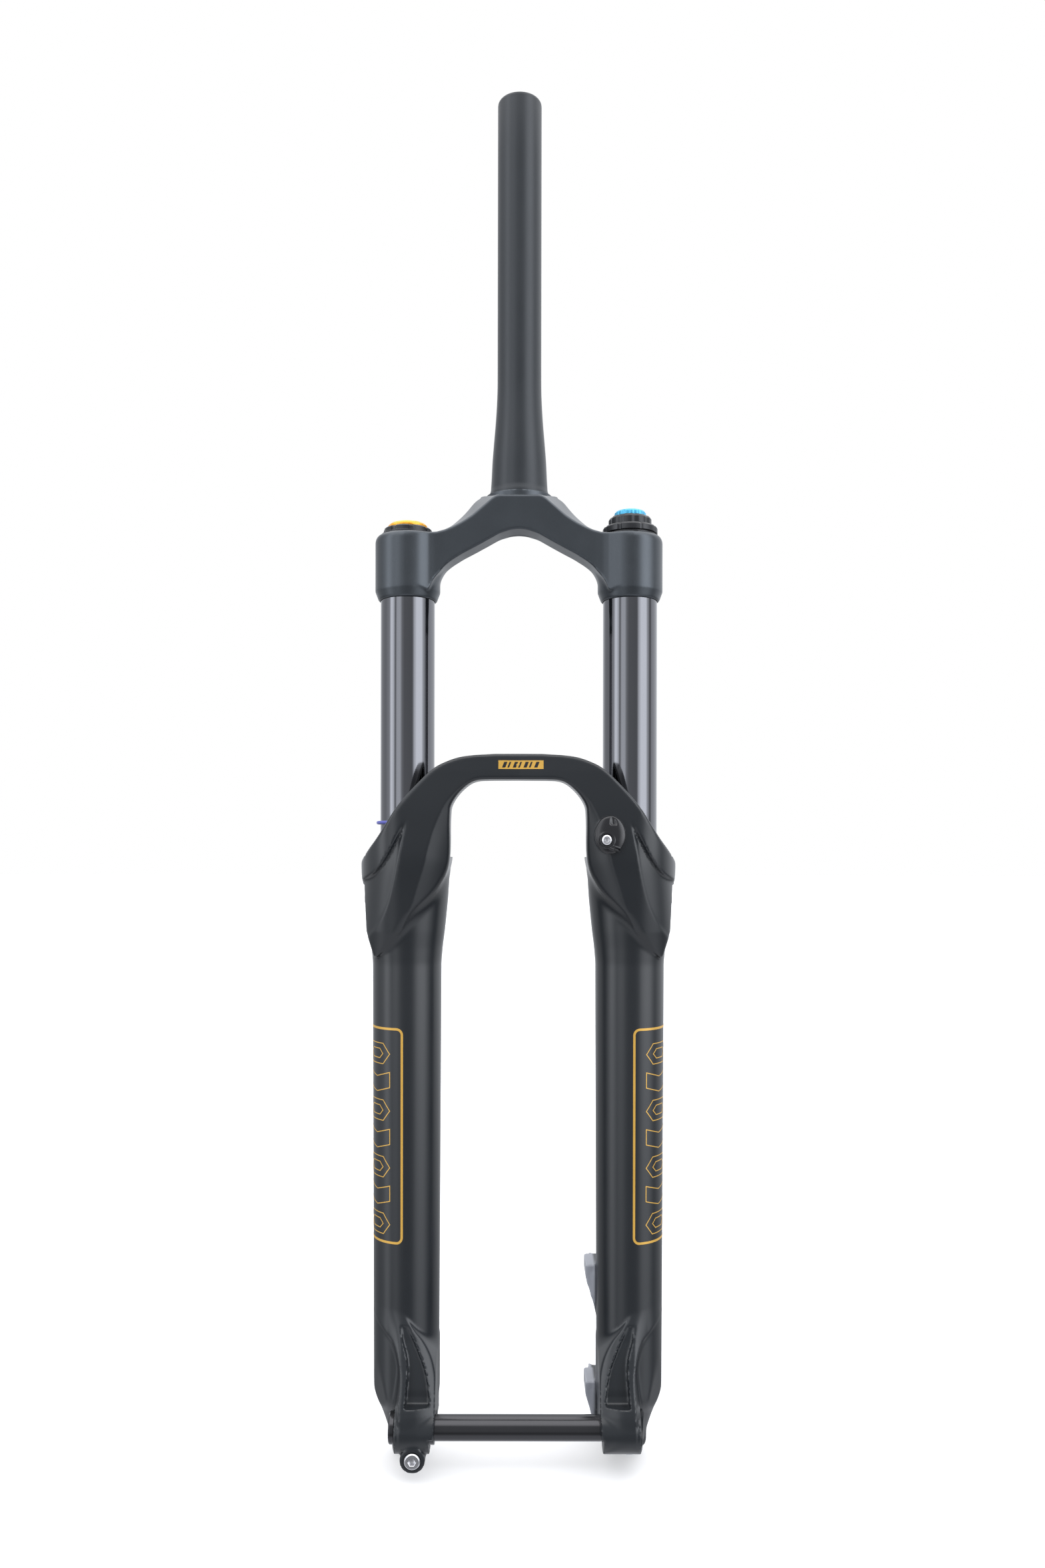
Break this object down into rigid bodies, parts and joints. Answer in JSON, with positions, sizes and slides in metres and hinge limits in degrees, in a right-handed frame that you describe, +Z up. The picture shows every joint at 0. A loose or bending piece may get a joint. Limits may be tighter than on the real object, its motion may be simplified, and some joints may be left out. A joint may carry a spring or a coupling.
{
  "type": "suspension fork",
  "caption": "Single-crown telescopic bicycle suspension fork with tapered steerer, black stanchions, arched lower casting, disc-brake post mounts and a through axle.",
  "frame": {"origin": "on the steerer axis, in the plane of the crown-race shoulder on top of the crown", "axes": "+Z up along the steerer, -Y forward in the riding direction (the arch and the axle are on that side), +X towards the disc-brake leg"},
  "size_m": [0.1956, 0.0996, 0.8681],
  "materials": {
    "crown_black": "satin bead-blasted, hard anodised slate black",
    "casting_black": "satin paint on a magnesium casting",
    "stanchion_black": "polished, hard anodised",
    "anodised_black": "anodised",
    "axle_black": "gloss anodised",
    "gold_anodised": "anodised",
    "blue_anodised": "anodised",
    "steel": "bright",
    "raw_aluminium": "machined",
    "rubber_black": "matte",
    "foam_black": "open foam",
    "ring_blue": "matte",
    "bushing": "coated",
    "bumper": "elastomer"
  },
  "bodies": {
    "crown_unit": {"steerer_tube": "crown_black", "crown": "crown_black", "stanchion_air": "stanchion_black", "stanchion_damper": "stanchion_black", "air_top_cap": "anodised_black", "air_valve": "steel", "air_seal_head": "anodised_black", "damper_top_cap": "anodised_black", "damper_cartridge_tube": "raw_aluminium", "compression_valve": "anodised_black", "damper_seal_head": "anodised_black"},
    "lower_unit": {"lower_casting": "casting_black", "wiper_seal_air": "rubber_black", "wiper_seal_damper": "rubber_black", "foam_ring_air": "foam_black", "foam_ring_damper": "foam_black", "upper_bushing_air": "bushing", "upper_bushing_damper": "bushing", "lower_bushing_air": "bushing", "lower_bushing_damper": "bushing", "air_shaft": "raw_aluminium", "air_piston": "anodised_black", "top_out_bumper": "bumper", "bottom_out_bumper": "bumper", "air_foot_bolt": "anodised_black", "damper_rod": "steel", "damper_piston": "anodised_black", "damper_foot_nut": "anodised_black", "hose_guide": "anodised_black", "hose_guide_screw": "steel", "axle_insert": "steel", "pinch_bolt": "steel"},
    "air_cap": {"air_cap": "gold_anodised"},
    "high_speed_dial": {"high_speed_dial": "anodised_black"},
    "low_speed_knob": {"low_speed_knob": "blue_anodised"},
    "travel_ring": {"travel_ring": "ring_blue"},
    "rebound_adjuster": {"rebound_knob": "raw_aluminium", "rebound_needle": "steel"},
    "axle_sleeve": {"axle_sleeve": "anodised_black"},
    "axle": {"axle": "axle_black"}
  },
  "joints": [
    {"name": "fork_travel", "type": "slide", "parent": "crown_unit", "child": "lower_unit", "axis": [0, 0, 1], "range_m": [0, 0.16], "stiffness_N_per_m": 4000, "springref_m": -0.01},
    {"name": "travel_ring_slide", "type": "slide", "parent": "crown_unit", "child": "travel_ring", "axis": [0, 0, 1], "range_m": [0, 0.138]},
    {"name": "air_cap_turn", "type": "hinge", "parent": "crown_unit", "child": "air_cap", "pos_m": [-0.0702, -0.026, -0.027], "axis": [0, 0, 1], "range_deg": [0, 720]},
    {"name": "high_speed_turn", "type": "hinge", "parent": "crown_unit", "child": "high_speed_dial", "pos_m": [0.0702, -0.026, -0.023], "axis": [0, 0, 1], "range_deg": [-160, 0]},
    {"name": "low_speed_turn", "type": "hinge", "parent": "crown_unit", "child": "low_speed_knob", "pos_m": [0.0702, -0.026, -0.018], "axis": [0, 0, 1], "range_deg": [-330, 0]},
    {"name": "rebound_turn", "type": "hinge", "parent": "lower_unit", "child": "rebound_adjuster", "pos_m": [0.0702, -0.026, -0.606], "axis": [0, 0, 1], "range_deg": [0, 540]},
    {"name": "axle_withdraw", "type": "slide", "parent": "lower_unit", "child": "axle_sleeve", "axis": [-1, 0, 0], "range_m": [0, 0.15]},
    {"name": "axle_spin", "type": "hinge", "parent": "axle_sleeve", "child": "axle", "pos_m": [0, -0.051, -0.582], "axis": [1, 0, 0], "continuous": true}
  ],
  "couplings": [
    {"joint": "travel_ring_slide", "follows": "fork_travel", "ratio": 0.8578}
  ]
}
